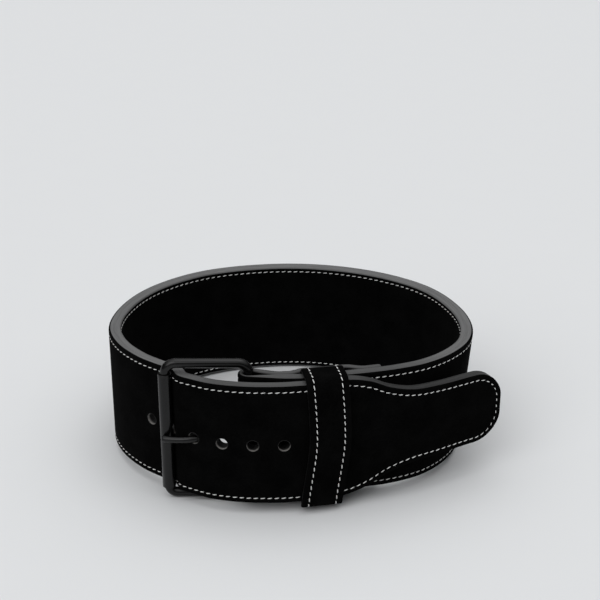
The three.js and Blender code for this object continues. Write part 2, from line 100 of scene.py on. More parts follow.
# Buckle
WIRE_RADIUS = 3.8 * MM
WIRE_CLEARANCE = 0.4 * MM
FRAME_LENGTH = 63.8 * MM
FRAME_HEIGHT = 112.7 * MM
FRAME_RISE = 1.45 * MM
BAR_X = -31.33 * MM
FRAME_BACK = 25.5 * MM
BAR_CORNER = 8 * MM
ROLLER_TOP_CORNER = 9 * MM
ROLLER_FOOT_CORNER = 6 * MM
ROLLER_RADIUS = 5.3 * MM
ROLLER_WALL = 1.1 * MM
ROLLER_LENGTH = 98.6 * MM
ROLLER_RIM = 0.4 * MM
PRONG_RADIUS = 2.75 * MM
PRONG_EYE_HEIGHT = 52 * MM
PRONG_DROP = 5 * MM
PRONG_BOW = 3.5 * MM
PRONG_ROOM = 0.3 * MM
PRONG_TIP = (0.93, 0.72, 0.4)
PRONG_TIP_SHARE = 0.35

# Keeper
KEEPER_WIDTH = 32 * MM
KEEPER_THICKNESS = 4 * MM
KEEPER_BACK_THICKNESS = 3 * MM
KEEPER_X = 28.8 * MM
KEEPER_SLACK = 1.1 * MM
KEEPER_TOP_SLACK = 1.6 * MM
KEEPER_BOTTOM_SLACK = 0.5 * MM
KEEPER_CORNER = 6 * MM
KEEPER_TOP_CORNER = 9 * MM
KEEPER_TOP_BEND = 3.2 * MM
KEEPER_BOW_MIDDLE = 2.5 * MM
KEEPER_BOW_FOOT = -4 * MM
KEEPER_ROUND = 1.2 * MM
KEEPER_ROW = 10.75 * MM
KEEPER_STEPS = 36
KEEPER_CORNER_STEPS = 8

# Stitches
STITCH_SUNK = 0.25 * MM
SLOPE_STEP = 0.1 * MM
EDGE_ROW_STEP = 2 * MM
STITCH_PLUMP = 0.8
THREAD_FLAT = 0.8
THREAD_RISE = 0.35
THREAD_DIP = 0.9

# Rivets
RIVET_RADIUS = 6.35 * MM
RIVET_RISE = 2.6 * MM
RIVET_RIM = 0.6 * MM
RIVET_DOME = 0.85
RIVET_SUNK = 0.1 * MM

# The strap's outer face seen from above, from beside the bar round the waist and over itself to the tip: x and y
# in millimetres, share of the thickness, lean of the lower edge and rise in millimetres, share of the width.
STRAP_LINE = (
    (-20, 15.6, 0.7, 0, 0, 1),
    (-6, 13.9, 1, 0, 0, 1),
    (8, 14.1, 1, 0, 0, 1),
    (20, 15.6, 1, 0, 0, 1),
    (45, 20.6, 1, 0, 0, 1),
    (80, 29.4, 1, 0, 0, 1),
    (106, 40.6, 1, 2, 0, 1),
    (128, 59, 1, 5, 0, 1),
    (143, 82, 1, 7.5, 0, 1),
    (148.5, 110, 1, 8, 0, 1),
    (143, 148, 1, 6, 0, 1),
    (121, 192, 1, 3, 0, 1),
    (79, 226, 1, 1, 0, 1),
    (25, 244.5, 1, 0, 0, 1),
    (-30, 244.5, 1, 0, 0, 1),
    (-84, 227, 1, 0, 0, 1),
    (-125, 190, 1, 0, 0, 1),
    (-144.5, 148, 1, 0, 0, 1),
    (-148.5, 108, 1, 0, 0, 1),
    (-138.5, 77.5, 1, 0, 0, 1),
    (-120, 52.7, 1, 0, 0, 1),
    (-104, 39.2, 1, 0, 0, 1),
    (-92, 30.7, 1, 0, 0, 1),
    (-89.1, 26.5, 1, 0, 0, 1),
    (-88, 22.5, 1, 0, 0, 1),
    (-84, 18.2, 1, 0, 0, 1),
    (-76, 13.5, 1, 0, 0, 1),
    (-60, 5.8, 1, 0, 0, 1),
    (-34, 0.6, 1, 0, 0, 1),
    (-6, 0.3, 1, 0, 0, 1),
    (8, 2.1, 1, 0, 0, 1),
    (20, 4.3, 1, 0, 0, 1),
    (45, 9.4, 1, 0, 1.8, 0.99),
    (62, 13.2, 1, 0, 3.2, 0.89),
    (76, 16.8, 1, 0, 4, 0.745),
    (94, 22.4, 1, 0, 4.5, 0.64),
    (116, 33, 1, 0, 4.5, 0.61),
    (140, 47, 1, 0, 4.5, 0.6),
    (167.5, 62, 1, 0, 4.5, 0.6),
)

# The prong's arm from the bar to the roller: lengths of the frame from its bar, share of the bow to the front.
PRONG_ARM = ((0, 0), (0.331, 0.034), (0.541, 0.505), (0.694, 1), (0.847, 0.76), (1, 0), (1.048, -0.4))

# Camera in the belt's own frame, and the lens of a 36 mm sensor
CAMERA_AT = Vector((7.5, -854, 543)) * MM
CAMERA_PITCH = math.radians(23.55)
CAMERA_LENS = 78

# The belt rests a little tilted: its own up is the roller's axis.
ROLLER_AT = Vector((BAR_X - FRAME_LENGTH, FRAME_BACK, STRAP_WIDTH / 2))
ROLLER_JOINT = frame["joints"][0]
REST_TURN = Vector((0, 0, 1)).rotation_difference(Vector(ROLLER_JOINT["axis"])).to_matrix().to_4x4()
REST = Matrix.Translation(Vector(ROLLER_JOINT["pos_m"]) - REST_TURN @ ROLLER_AT) @ REST_TURN
RIVETS = sorted(name for name in frame["nodes"] if name.startswith("rivet_"))


class BeltSizes(bpy.types.PropertyGroup):
    """Sizes that a user may change without touching the frame."""

    edge_round: bpy.props.FloatProperty(
        name="Edge rounding", description="Radius of the strap's painted edges", default=1.5 * MM, unit="LENGTH"
    )
    stitch_pitch: bpy.props.FloatProperty(
        name="Stitch pitch", description="From one stitch to the next", default=5.4 * MM, unit="LENGTH"
    )
    stitch_length: bpy.props.FloatProperty(
        name="Stitch length", description="Length of thread that shows", default=3.9 * MM, unit="LENGTH"
    )
    thread_width: bpy.props.FloatProperty(
        name="Thread width", description="Width of the thread", default=0.8 * MM, unit="LENGTH"
    )
    stitch_inset: bpy.props.FloatProperty(
        name="Stitch inset", description="From the strap's edge to the stitches", default=4.5 * MM, unit="LENGTH"
    )
    stitch_slant: bpy.props.FloatProperty(
        name="Stitch slant", description="Slant of each stitch in its row", default=math.radians(9), subtype="ANGLE"
    )


class BeltColours(bpy.types.PropertyGroup):
    """Colours of the finishes, as sRGB hex values."""

    suede: bpy.props.StringProperty(name="Suede", description="Nap in shade", default="#040404")
    suede_light: bpy.props.StringProperty(name="Brushed suede", description="Nap brushed up", default="#0b0b0b")
    edge_paint: bpy.props.StringProperty(name="Edge paint", description="Painted edges", default="#707070")
    raw_leather: bpy.props.StringProperty(name="Cut leather", description="Walls of the holes", default="#a09d99")
    thread: bpy.props.StringProperty(name="Thread", description="Sewing thread", default="#ebebe9")
    steel: bpy.props.StringProperty(name="Coated steel", description="Buckle and rivets", default="#060606")
    floor: bpy.props.StringProperty(name="Floor", description="Studio floor and backdrop", default="#dddedf")


# Places on the strap


def spline(points, steps):
    """Samples a centripetal Catmull-Rom curve through points, steps to a span."""
    points = np.asarray(points, float)
    ends = [2 * points[0] - points[1], *points, 2 * points[-1] - points[-2]]
    samples = []
    for p0, p1, p2, p3 in zip(ends, ends[1:], ends[2:], ends[3:]):
        d0, d1, d2 = (np.linalg.norm((b - a)[:2]) ** 0.5 for a, b in ((p0, p1), (p1, p2), (p2, p3)))
        m1 = ((p1 - p0) / d0 - (p2 - p0) / (d0 + d1) + (p2 - p1) / d1) * d1
        m2 = ((p2 - p1) / d1 - (p3 - p1) / (d1 + d2) + (p3 - p2) / d2) * d1
        t = np.linspace(0, 1, steps, endpoint=False)[:, None]
        bend = (-3 * p1 + 3 * p2 - 2 * m1 - m2) * t**2 + (2 * p1 - 2 * p2 + m1 + m2) * t**3
        samples.append(p1 + m1 * t + bend)
    return np.vstack([*samples, points[-1]])


class Line:
    """A line on the strap seen from above: places by distance, with columns that vary along it.

    The columns are x, y, thickness, lean, rise and half of the width.
    """

    def __init__(self, rows):
        self.rows = np.asarray(rows, float)
        steps = np.linalg.norm(np.diff(self.rows[:, :2], axis=0), axis=1)
        self.distance = np.concatenate([[0], np.cumsum(steps)])
        self.length = self.distance[-1]
        slope = np.gradient(self.rows[:, :2], self.distance, axis=0)
        self.along = slope / np.linalg.norm(slope, axis=1)[:, None]

    def row(self, distance):
        return np.array([np.interp(distance, self.distance, column) for column in self.rows.T])

    def forward(self, distance):
        """Unit direction along the line."""
        x, y = (np.interp(distance, self.distance, column) for column in self.along.T)
        return np.array([x, y]) / math.hypot(x, y)

    def inward(self, distance):
        """Unit direction from the outer face to the inner one."""
        x, y = self.forward(distance)
        return np.array([-y, x])

    def point(self, distance, depth, height):
        """A point at a depth under the outer face and a height over the middle of the strap."""
        x, y, thick, lean, rise, half = self.row(distance)
        leaned = depth + lean * (half - height) / (2 * half)
        place = np.array([x, y]) + leaned * self.inward(distance)
        return Vector((place[0], place[1], STRAP_WIDTH / 2 + rise + height))


def loop_line():
    """The strap's outer face from beside the bar to the end of the tip."""
    rows = [
        (x * MM, y * MM, thick * STRAP_THICKNESS, lean * MM, rise * MM, width * STRAP_WIDTH / 2)
        for x, y, thick, lean, rise, width in STRAP_LINE
    ]
    return Line(spline(rows, 24))


def distance_at(line, x, last):
    """Distance at which the line first, or last, passes a place across the belt."""
    beyond = np.nonzero(line.rows[:, 0] >= x)[0]
    if not last:
        return float(line.distance[beyond[0]])
    back = len(line.rows) - 1
    while line.rows[back, 0] > x:
        back -= 1
    return float(line.distance[back])


def ease(value, low, high):
    """Smooth step from 0 at low to 1 at high."""
    t = np.clip((value - low) / (high - low), 0, 1)
    return t * t * (3 - 2 * t)


def flap_depth(line, distance, keeper_x):
    """How deep the flap's inner face lies under the strap's outer face, with room for the keeper."""
    x, thick = line.row(distance)[[0, 2]]
    room = KEEPER_BACK_THICKNESS + 2 * KEEPER_SLACK
    beside = abs(x - keeper_x) - KEEPER_WIDTH / 2
    return thick + FLAP_GAP + room * (1 - ease(beside, *FLAP_EASE)) + FLAP_THICKNESS


def whole_line(line):
    """The outer face of the whole strap: the flap, the fold round the bar and the loop, to the end of the tip."""
    rows = []
    start = distance_at(line, FLAP_START_X, False)
    for distance in np.arange(distance_at(line, FLAP_END_X, False), start, -ROW_STEP):
        depth = flap_depth(line, distance, KEEPER_X)
        point = line.point(distance, depth, 0)
        rows.append((point.x, point.y, FLAP_THICKNESS, 0, 0, STRAP_WIDTH / 2))
    radius = WIRE_RADIUS + WIRE_CLEARANCE + FOLD_THICKNESS
    for degrees in range(84, 273, 12):
        angle = math.radians(degrees)
        x = BAR_X + radius * math.cos(angle)
        y = FRAME_BACK + radius * math.sin(angle)
        rows.append((x, y, FOLD_THICKNESS, 0, 0, STRAP_WIDTH / 2))
    steps = int(line.length / ROW_STEP)
    rows.extend(line.row(line.length * (i / steps)) for i in range(steps + 1))
    return Line(spline(rows, 6))


LOOP = loop_line()
WHOLE = whole_line(LOOP)
LOOP_START = WHOLE.length - LOOP.length

# Distances between which the edge paint turns: darker on the inner end, then pale, then dark with painted shade on
# the free end
PALE_FROM = (LOOP_START + distance_at(LOOP, 80 * MM, False), LOOP_START + distance_at(LOOP, 130 * MM, False))
PALE_TO = (LOOP_START + distance_at(LOOP, -86 * MM, True), LOOP_START + distance_at(LOOP, -60 * MM, True))
DARK_FROM = (LOOP_START + distance_at(LOOP, 30 * MM, True), LOOP_START + distance_at(LOOP, 60 * MM, True))


# Helpers for pieces


def hex_colour(text):
    """Linear colour from an sRGB hex value."""
    values = [int(text[i : i + 2], 16) / 255 for i in (1, 3, 5)]
    linear = [v / 12.92 if v <= 0.04045 else ((v + 0.055) / 1.055) ** 2.4 for v in values]
    return (*linear, 1)


def shade(colour, share):
    """A colour at a share of its light."""
    return (*(value * share for value in colour[:3]), 1)


def deselect():
    """Object mode with nothing selected."""
    if bpy.context.object and bpy.context.object.mode != "OBJECT":
        bpy.ops.object.mode_set(mode="OBJECT")
    bpy.ops.object.select_all(action="DESELECT")


def select(piece):
    """Makes one piece the selected and active one."""
    deselect()
    piece.select_set(True)
    bpy.context.view_layer.objects.active = piece


def apply_modifier(piece, kind, **settings):
    """Adds a modifier with its settings and applies it."""
    select(piece)
    modifier = piece.modifiers.new(kind.title(), kind)
    for name, value in settings.items():
        setattr(modifier, name, value)
    bpy.ops.object.modifier_apply(modifier=modifier.name)


def mend_normals(piece):
    """Merges doubles and turns every face outwards."""
    select(piece)
    bpy.ops.object.mode_set(mode="EDIT")
    bpy.ops.mesh.select_all(action="SELECT")
    bpy.ops.mesh.remove_doubles(threshold=0.002 * MM)
    bpy.ops.mesh.normals_make_consistent(inside=False)
    bpy.ops.object.mode_set(mode="OBJECT")


def lay(piece, name, body, materials, nodes=(), smooth=40):
    """Names a finished piece, lays it as the belt rests, gives it its finish and lets it ride on its body."""
    piece.name = name
    piece.data.name = name
    select(piece)
    bpy.ops.object.transform_apply(location=True, rotation=True, scale=True)
    piece.data.transform(REST)
    for material in materials:
        piece.data.materials.append(material)
    if smooth:
        bpy.ops.object.shade_smooth_by_angle(angle=math.radians(smooth))
    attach(piece, body)
    if nodes:
        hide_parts(*nodes)


def skin(name, rings, spots, kinds, closed):
    """Skins rings of equal length into a mesh.

    spots holds the UV of every point, in metres, and kinds the material of each face of a ring.
    """
    count = len(rings[0])
    build = bmesh.new()
    layer = build.loops.layers.uv.new("surface")
    corners = [[build.verts.new(point) for point in ring] for ring in rings]
    turns = len(rings) if closed else len(rings) - 1
    for i in range(turns):
        after = (i + 1) % len(rings)
        for j in range(count):
            k = (j + 1) % count
            face = build.faces.new((corners[i][j], corners[after][j], corners[after][k], corners[i][k]))
            face.material_index = kinds[j]
            wide = 1 if k == 0 else 0
            places = ((i, j, 0), (i + 1, j, 0), (i + 1, k, wide), (i, k, wide))
            for loop, (ring, column, wrap) in zip(face.loops, places):
                u = spots[ring % len(rings)][0] if ring < len(rings) else spots[-1][0] + STATION_STEP
                loop[layer].uv = (u, spots[ring % len(rings)][1][column + wrap * count])
    if not closed:
        for ring in (corners[0][::-1], corners[-1]):
            face = build.faces.new(ring)
            face.material_index = 1
    mesh = bpy.data.meshes.new(name)
    build.to_mesh(mesh)
    build.free()
    piece = bpy.data.objects.new(name, mesh)
    bpy.context.scene.collection.objects.link(piece)
    mend_normals(piece)
    return piece


def side_heights(half, rounding, inset):
    """Heights of the columns of one face, from its lower to its upper end, three for each row of stitches."""
    squeeze = min(1, half / (inset + 3 * MM))
    offsets = [rounding, inset - GROOVE_HALF, inset, inset + GROOVE_HALF]
    offsets = [rounding + (offset - rounding) * squeeze for offset in offsets]
    low = [offset - half for offset in offsets]
    middle = list(np.linspace(low[-1], -low[-1], 9)[1:-1])
    return low + middle + [-height for height in reversed(low)]


def slab(thick, half, rounding, inset, shrink=0.0, seam=True):
    """Outline of the strap's section as depths and heights, with the running length and the kind of each side."""
    half -= shrink
    heights = side_heights(half, rounding, inset)
    sunk = [GROOVE_DEPTH if i in (2, len(heights) - 3) else 0 for i in range(len(heights))]
    arc = [math.radians(a) for a in (22.5, 45, 67.5)]
    front = [(shrink + s, h) for s, h in zip(sunk, heights)]
    back = [(thick - d, h) for d, h in reversed(front)]
    depth = rounding + shrink
    corner = [(depth - rounding * math.cos(a), half - rounding + rounding * math.sin(a)) for a in arc]
    dip = SEAM_DEPTH * ease(thick, *SEAM_THICKNESS) * seam
    ridge = [(depth, half)]
    ridge += [(thick / 2 + x, half - dip * (x == 0)) for x in (-SEAM_HALF, 0, SEAM_HALF)]
    ridge += [(thick - depth, half)]
    top = corner + ridge + [(thick - d, h) for d, h in reversed(corner)]
    bottom = [(d, -h) for d, h in reversed(top)]
    outline = front + top + back + bottom
    napped = len(arc) + 1
    painted = len(top) + 1 - napped
    kinds = [0] * (len(front) - 1 + napped) + [1] * painted + [0] * (len(back) - 1) + [1] * painted + [0] * napped
    steps = [math.dist(a, b) for a, b in zip(outline, outline[1:] + outline[:1])]
    return outline, [0, *np.cumsum(steps)], kinds


def tip_half(distance, half):
    """Half of the strap's width where the round corners of the tip narrow it."""
    into = distance - (WHOLE.length - TIP_CORNER)
    if into <= 0:
        return half
    return half - TIP_CORNER + math.sqrt(max(TIP_CORNER**2 - into**2, 0))


# Strap


def strap_body(sizes):
    """The whole strap as one body, from the flap's end round the bar and the waist to the tip."""
    rounding = sizes.edge_round
    inner = np.arange(STATION_STEP, WHOLE.length - TIP_CORNER, STATION_STEP)
    tip = [WHOLE.length - TIP_CORNER * (1 - math.sin(math.radians(a))) for a in range(0, 86, 5)]
    quarter = [math.radians(angle) for angle in (0, 30, 60)]
    stations = [(rounding * (1 - math.cos(a)), rounding * (1 - math.sin(a))) for a in quarter]
    stations += [(distance, 0) for distance in inner if distance > rounding]
    stations += [(distance, 0) for distance in tip if distance < WHOLE.length - rounding]
    stations += [(WHOLE.length - into, shrink) for into, shrink in reversed(stations[:3])]
    rings = []
    spots = []
    for distance, shrink in stations:
        thick = WHOLE.row(distance)[2]
        half = tip_half(distance, WHOLE.row(distance)[5])
        outline, running, kinds = slab(thick, half, min(rounding, thick / 3), sizes.stitch_inset, shrink)
        rings.append([WHOLE.point(distance, depth, height) for depth, height in outline])
        spots.append((distance, running))
    return skin("strap", rings, spots, kinds, False)


def hole_place(distance):
    """Where a cylinder square through a hole of the strap stands, and how it is turned."""
    x, y = LOOP.inward(distance)
    height = HOLE_HEIGHT - STRAP_WIDTH / 2 - LOOP.row(distance)[4]
    turn = Vector((x, y, 0)).to_track_quat("Z", "Y").to_euler()
    return LOOP.point(distance, STRAP_THICKNESS / 2, height), turn


def hole_cutter(distance):
    """A cylinder square through the strap, to cut a hole with."""
    deselect()
    place, turn = hole_place(distance)
    bpy.ops.mesh.primitive_cylinder_add(
        vertices=40, radius=HOLE_DIAMETER / 2, depth=CUTTER_LENGTH, location=place, rotation=turn
    )
    return bpy.context.object


def open_tube(place, turn, radius, length, wall, rim, vertices, segments):
    """A straight tube, open at both ends, with rounded rims."""
    deselect()
    bpy.ops.mesh.primitive_cylinder_add(
        vertices=vertices, radius=radius, depth=length, location=place, rotation=turn
    )
    piece = bpy.context.object
    bpy.ops.object.mode_set(mode="EDIT")
    bpy.ops.mesh.select_mode(type="FACE")
    bpy.ops.mesh.select_all(action="DESELECT")
    bpy.ops.object.mode_set(mode="OBJECT")
    for face in piece.data.polygons:
        face.select = len(face.vertices) > 4
    bpy.ops.object.mode_set(mode="EDIT")
    bpy.ops.mesh.inset(thickness=wall)
    bpy.ops.mesh.bridge_edge_loops()
    bpy.ops.object.mode_set(mode="OBJECT")
    mend_normals(piece)
    apply_modifier(
        piece, "BEVEL", width=rim, segments=segments, limit_method="ANGLE", angle_limit=math.radians(40)
    )
    return piece


def hole_distances():
    """Distances of the holes along the loop."""
    fifth = distance_at(LOOP, HOLE_FIFTH_X, True)
    return [fifth + step * HOLE_PITCH for step in HOLE_STEPS]


def prong_points():
    """The middle line of the prong's arm, from its eye to the roller."""
    eye_front = FRAME_BACK - (WIRE_RADIUS + WIRE_CLEARANCE + PRONG_RADIUS)
    roller_front = FRAME_BACK - ROLLER_RADIUS - WIRE_CLEARANCE - PRONG_RADIUS
    rows = []
    for along, bow in PRONG_ARM:
        level = eye_front + (roller_front - eye_front) * min(along, 1)
        height = PRONG_EYE_HEIGHT - along * PRONG_DROP
        rows.append((BAR_X - along * FRAME_LENGTH, level - bow * PRONG_BOW, height))
    return [Vector(point) for point in spline(rows, 5)]


def tube(points, radii, sides=20, closed=False):
    """A round bar along points, made as a curve with a round section and turned into a mesh."""
    deselect()
    bpy.ops.curve.primitive_nurbs_path_add()
    piece = bpy.context.object
    curve = piece.data
    curve.splines.clear()
    path = curve.splines.new("POLY")
    path.points.add(len(points) - 1)
    for spot, point, radius in zip(path.points, points, radii):
        spot.co = (*point, 1)
        spot.radius = radius
    path.use_cyclic_u = closed
    curve.dimensions = "3D"
    curve.bevel_depth = 1
    curve.bevel_resolution = sides // 4 - 1
    curve.use_fill_caps = True
    bpy.ops.object.convert(target="MESH")
    piece = bpy.context.object
    mend_normals(piece)
    return piece


def cut(piece, tools):
    """Cuts all the tools out of a piece and removes them."""
    for tool in tools:
        apply_modifier(piece, "BOOLEAN", object=tool, operation="DIFFERENCE", solver="EXACT")
        bpy.data.objects.remove(tool, do_unlink=True)


def slot_cutter():
    """A bar with a round end, for the prong's slot in the fold."""
    deselect()
    reach = WIRE_RADIUS + WIRE_CLEARANCE + 2 * PRONG_RADIUS + SLOT_CLEARANCE
    left = BAR_X - WIRE_RADIUS - WIRE_CLEARANCE - FOLD_THICKNESS - 2 * MM
    right = BAR_X + SLOT_REACH
    bpy.ops.mesh.primitive_cube_add(
        size=1,
        location=((left + right) / 2, FRAME_BACK, PRONG_EYE_HEIGHT),
        scale=(right - left, 2 * reach, SLOT_HEIGHT),
    )
    piece = bpy.context.object
    bpy.ops.object.transform_apply(location=True, rotation=True, scale=True)
    end_edges = [
        edge
        for edge in piece.data.edges
        if all(abs(piece.data.vertices[i].co.x - right) < 1e-6 for i in edge.vertices)
        and abs(piece.data.vertices[edge.vertices[0]].co.y - piece.data.vertices[edge.vertices[1]].co.y) > MM
    ]
    bpy.ops.object.mode_set(mode="EDIT")
    bpy.ops.mesh.select_all(action="DESELECT")
    bpy.ops.object.mode_set(mode="OBJECT")
    for edge in end_edges:
        edge.select = True
    bpy.ops.object.mode_set(mode="EDIT")
    bpy.ops.mesh.select_mode(type="EDGE")
    bpy.ops.mesh.bevel(offset=SLOT_HEIGHT * SLOT_ROUND_SHARE, segments=8)
    bpy.ops.object.mode_set(mode="OBJECT")
    return piece


def hole_wall(distance):
    """The cut wall of one hole with its rounded rims, a little proud of the suede."""
    place, turn = hole_place(distance)
    radius = HOLE_DIAMETER / 2 + HOLE_LIP
    piece = open_tube(place, turn, radius, STRAP_THICKNESS + HOLE_LIP, 2 * HOLE_LIP, HOLE_LIP / 2, 40, 2)
    inward = Vector(LOOP.inward(distance))
    face = Vector(LOOP.row(distance)[:2])
    points = [piece.matrix_world @ vertex.co for vertex in piece.data.vertices]
    depths = [(point.xy - face).dot(inward) / STRAP_THICKNESS for point in points]
    piece.data.attributes.new("depth", "FLOAT", "POINT").data.foreach_set("value", depths)
    return piece


class BELT_OT_strap(bpy.types.Operator):
    """Builds the strap with its folded end, its holes and their walls"""

    bl_idname = "belt.strap"
    bl_label = "Strap"

    def execute(self, context):
        sizes = context.scene.belt_sizes
        piece = strap_body(sizes)
        tools = [hole_cutter(distance) for distance in hole_distances()]
        arm = prong_points()
        tools += [tube(arm, [PRONG_RADIUS + PRONG_ROOM] * len(arm)), slot_cutter()]
        cut(piece, tools)
        colours = context.scene.belt_colours
        lay(piece, "strap", "belt", [suede(colours), edge_paint(colours)], ["belt_strap"])
        raw = raw_leather(colours)
        for number, distance in enumerate(hole_distances(), 1):
            lay(hole_wall(distance), f"hole_wall_{number}", "belt", [raw])
        return {"FINISHED"}


# Keeper


def rounded_path(left, bottom, right, top, low, high):
    """Depths and heights of points round a rectangle, its corners round with one radius low and another high."""
    points = []
    sides = (
        ((left + low, bottom + low), low, 180, (left + low, bottom), (right - low, bottom)),
        ((right - low, bottom + low), low, 270, (right, bottom + low), (right, top - high)),
        ((right - high, top - high), high, 0, (right - high, top), (left + high, top)),
        ((left + high, top - high), high, 90, (left, top - high), (left, bottom + low)),
    )
    for (x, y), radius, start, begin, finish in sides:
        for i in range(KEEPER_CORNER_STEPS):
            angle = math.radians(start + 90 * i / KEEPER_CORNER_STEPS)
            points.append((x + radius * math.cos(angle), y + radius * math.sin(angle)))
        count = KEEPER_STEPS if begin[0] == finish[0] else KEEPER_CORNER_STEPS
        for i in range(count):
            share = i / count
            points.append((begin[0] + (finish[0] - begin[0]) * share, begin[1] + (finish[1] - begin[1]) * share))
    return points


def keeper_bow(share):
    """How far the keeper's front stands aside at a share of the height."""
    share = min(max(share, 0), 1)
    return KEEPER_BOW_MIDDLE * math.sin(math.pi * share) + KEEPER_BOW_FOOT * (1 - ease(share, 0, 0.6))


def keeper_frame():
    """The keeper's place: where it stands on the strap, inwards and along."""
    distance = distance_at(LOOP, KEEPER_X, True)
    x, y = LOOP.row(distance)[:2]
    inward = Vector((*LOOP.inward(distance), 0))
    under = distance_at(LOOP, KEEPER_X, False)
    between = (Vector((*LOOP.row(under)[:2], 0)) - Vector((x, y, 0))).dot(inward)
    along = inward.cross(Vector((0, 0, 1)))
    return Vector((x, y, 0)), inward, along, between + STRAP_THICKNESS + KEEPER_SLACK


def keeper_point(depth, height, across):
    """A point of the keeper from its depth, its height and its place across the band."""
    place, inward, along, back = keeper_frame()
    share = min(max(1 - depth / back, 0), 1)
    aside = across + share * keeper_bow(height / STRAP_WIDTH)
    return place + inward * depth + along * aside + Vector((0, 0, height))


def keeper_walls():
    """The outer and inner outline of the keeper seen along the strap, point by point."""
    back = keeper_frame()[3]
    bottom = -KEEPER_BOTTOM_SLACK
    top = STRAP_WIDTH + KEEPER_TOP_SLACK
    thin = KEEPER_THICKNESS
    rear = back + KEEPER_BACK_THICKNESS
    outer = rounded_path(-KEEPER_SLACK - thin, bottom - thin, rear, top + thin, KEEPER_CORNER, KEEPER_TOP_CORNER)
    return outer, rounded_path(-KEEPER_SLACK, bottom, back, top, KEEPER_CORNER - thin, KEEPER_TOP_BEND)


class BELT_OT_keeper(bpy.types.Operator):
    """Builds the leather keeper that holds the free end"""

    bl_idname = "belt.keeper"
    bl_label = "Keeper"

    def execute(self, context):
        outer, inner = keeper_walls()
        half = KEEPER_WIDTH / 2
        rings = []
        spots = []
        running = 0
        for i, (out, into) in enumerate(zip(outer, inner)):
            thick = math.dist(out, into)
            outline, lengths, kinds = slab(thick, half, KEEPER_ROUND, half - KEEPER_ROW, seam=False)
            ring = []
            for depth, across in outline:
                place = np.array(out) + (np.array(into) - out) * (depth / thick)
                ring.append(keeper_point(*place, across))
            rings.append(ring)
            spots.append((running, lengths))
            running += math.dist(out, outer[(i + 1) % len(outer)])
        piece = skin("keeper", rings, spots, kinds, True)
        colours = context.scene.belt_colours
        lay(piece, "keeper", "belt", [suede(colours), dyed_edge(colours)], ["keeper_loop"])
        return {"FINISHED"}


# Stitches


def thread_stitch(sizes):
    """One stitch lying along X on a surface at height 0: a plump strand whose ends dip into the leather."""
    deselect()
    bpy.ops.mesh.primitive_uv_sphere_add(segments=8, ring_count=8, radius=1, rotation=(0, math.pi / 2, 0))
    piece = bpy.context.object
    bpy.ops.object.transform_apply(location=False, rotation=True, scale=False)
    half = sizes.stitch_length / 2
    width = sizes.thread_width / 2
    for vertex in piece.data.vertices:
        x, y, z = vertex.co
        plump = math.copysign(abs(x) ** STITCH_PLUMP, x)
        rise = z * THREAD_FLAT + THREAD_RISE - x * x * THREAD_DIP
        vertex.co = (plump * half, y * width, rise * width)
    return piece


def sew(name, places, stitch, material):
    """Sets a copy of the stitch at each place and joins the copies into one piece."""
    shape = np.array([vertex.co for vertex in stitch.data.vertices])
    faces = [tuple(face.vertices) for face in stitch.data.polygons]
    points = []
    sides = []
    for number, (place, forward, out) in enumerate(places):
        across = out.cross(forward)
        turn = np.array([forward, across, out])
        points.extend(shape @ turn + np.array(place))
        sides.extend(tuple(i + number * len(shape) for i in face) for face in faces)
    mesh = bpy.data.meshes.new(name)
    mesh.from_pydata(points, [], sides)
    piece = bpy.data.objects.new(name, mesh)
    bpy.context.scene.collection.objects.link(piece)
    lay(piece, name, "belt", [material], smooth=80)


def spaced(points, pitch):
    """Rows a stitch pitch apart along points, with the direction at each; columns after x, y and z come along."""
    points = np.array(points, float)
    steps = np.linalg.norm(np.diff(points[:, :3], axis=0), axis=1)
    distance = np.concatenate([[0], np.cumsum(steps)])
    count = max(int(round(distance[-1] / pitch)), 1)
    at = (np.arange(count) + 0.5) * distance[-1] / count
    rows, ahead, behind = (
        np.stack([np.interp(at + shift, distance, column) for column in points.T], axis=1)
        for shift in (0, SLOPE_STEP, -SLOPE_STEP)
    )
    return [(row, Vector(slope[:3]).normalized()) for row, slope in zip(rows, ahead - behind)]


def slanted(place, forward, out, sizes):
    """A stitch's place with its direction, slanted a little about the outward one."""
    flat = (forward - out * forward.dot(out)).normalized()
    return place, Matrix.Rotation(sizes.stitch_slant, 3, out) @ flat, out


def edge_row(start, end, side, inset):
    """Distances and heights of a row that keeps inside the strap's upper (1) or lower (-1) edge."""
    row = []
    for distance in np.arange(start, end, EDGE_ROW_STEP):
        half = WHOLE.row(distance)[5]
        ahead = WHOLE.row(distance + MM)[5]
        slope = math.atan2(ahead - half, MM)
        row.append((distance, side * (half - inset / math.cos(slope))))
    return row


def tip_row(inset):
    """Distances and heights of the row round the tip, from its upper to its lower corner."""
    start = WHOLE.length - TIP_CORNER
    half = WHOLE.row(WHOLE.length)[5] - TIP_CORNER
    radius = TIP_CORNER - inset
    upper = [(start + radius * math.sin(a), half + radius * math.cos(a)) for a in np.linspace(0, math.pi / 2, 16)]
    return upper + [(distance, -height) for distance, height in reversed(upper)]


def strap_row(row, inner, sizes):
    """Places of the stitches of a row on the outer or the inner face of the strap."""
    points = []
    for distance, height in row:
        depth = WHOLE.row(distance)[2] - STITCH_SUNK if inner else STITCH_SUNK
        points.append((*WHOLE.point(distance, depth, height), distance))
    places = []
    for spot, forward in spaced(points, sizes.stitch_pitch):
        x, y = WHOLE.inward(spot[3]) * (1 if inner else -1)
        places.append(slanted(Vector(spot[:3]), forward, Vector((x, y, 0)), sizes))
    return places


